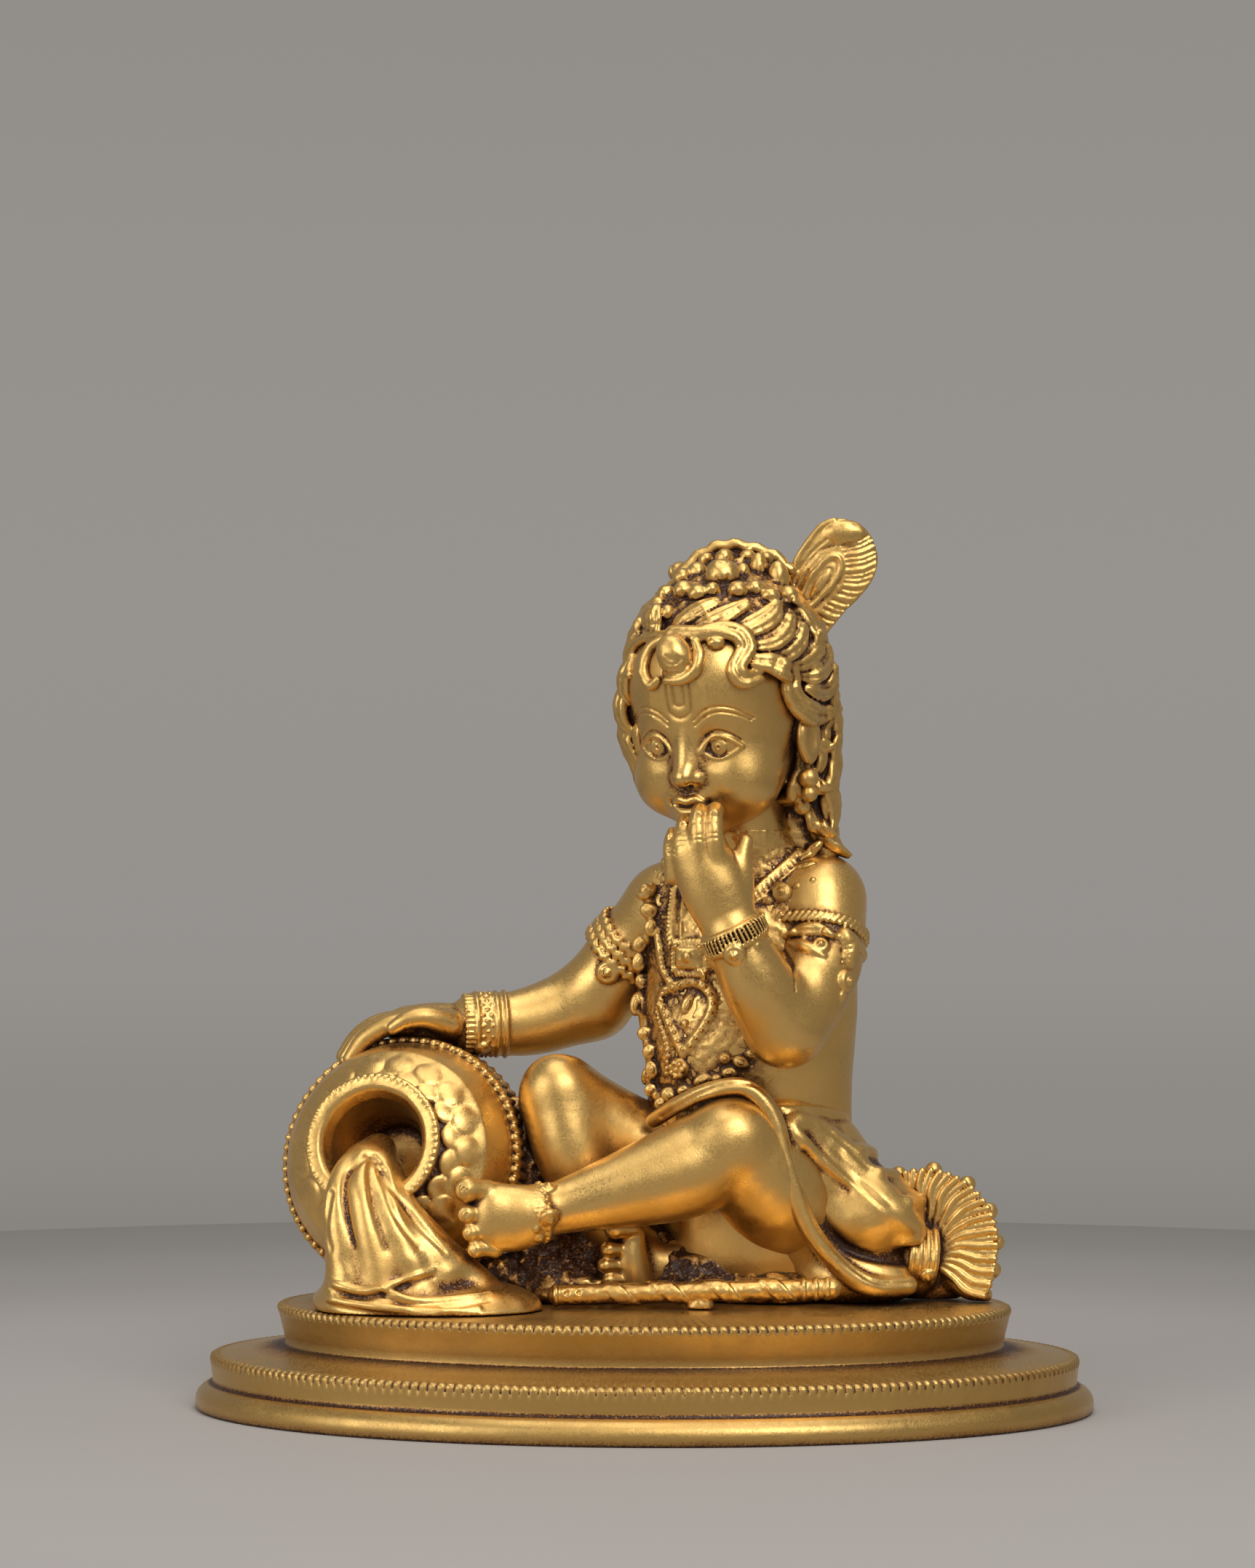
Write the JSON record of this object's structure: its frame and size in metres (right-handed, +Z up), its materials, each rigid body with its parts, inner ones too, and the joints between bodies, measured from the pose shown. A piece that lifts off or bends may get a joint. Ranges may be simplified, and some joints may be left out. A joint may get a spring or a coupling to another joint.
{
  "type": "baby krishna statue",
  "caption": "Cast brass figure of the child Krishna seated on a stepped oval plinth, a hand on a butter pot lying on its side.",
  "frame": {"origin": "middle of the plinth's underside", "axes": "+Z up, the statue faces -Y, +X towards the tied cloth and away from the pot"},
  "size_m": [0.213, 0.142, 0.2123],
  "materials": {
    "plinth_brass": "brushed, darkened under the edges",
    "figure_brass": "hand polished on the high places, brown patina in the hollows",
    "flute_brass": "rubbed bright, brown patina beside the ribbon"
  },
  "bodies": {
    "root": {"plinth": "plinth_brass", "krishna_with_butter_pot": "figure_brass", "flute": "flute_brass"}
  },
  "joints": []
}
